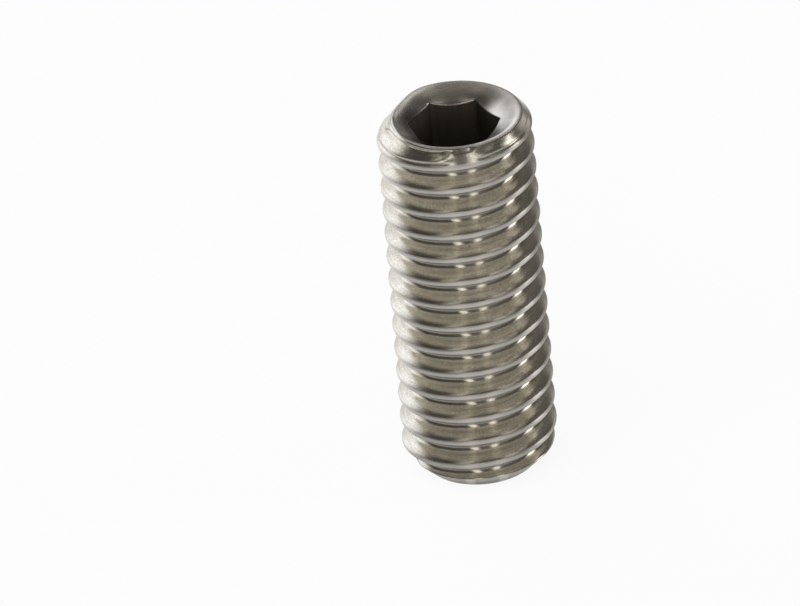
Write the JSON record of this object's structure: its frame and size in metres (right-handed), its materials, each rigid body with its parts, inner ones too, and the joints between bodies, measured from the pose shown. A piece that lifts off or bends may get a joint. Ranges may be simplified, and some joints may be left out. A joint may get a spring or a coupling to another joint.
{
  "type": "grub set screw",
  "caption": "Headless set screw threaded from end to end, with a hexagon key socket in one end and a bevelled flat point at the other.",
  "frame": {"origin": "middle of the flat point face, at the end that has no socket", "axes": "+Z along the screw axis from the point to the socket, +X through a corner of the hexagon, -Y square to one of its flats"},
  "size_m": [0.006, 0.006, 0.015],
  "materials": {
    "stainless_steel": "plain rolled and turned stainless steel, semi-bright, slightly warm"
  },
  "bodies": {
    "root": {"set_screw": "stainless_steel"}
  },
  "joints": []
}
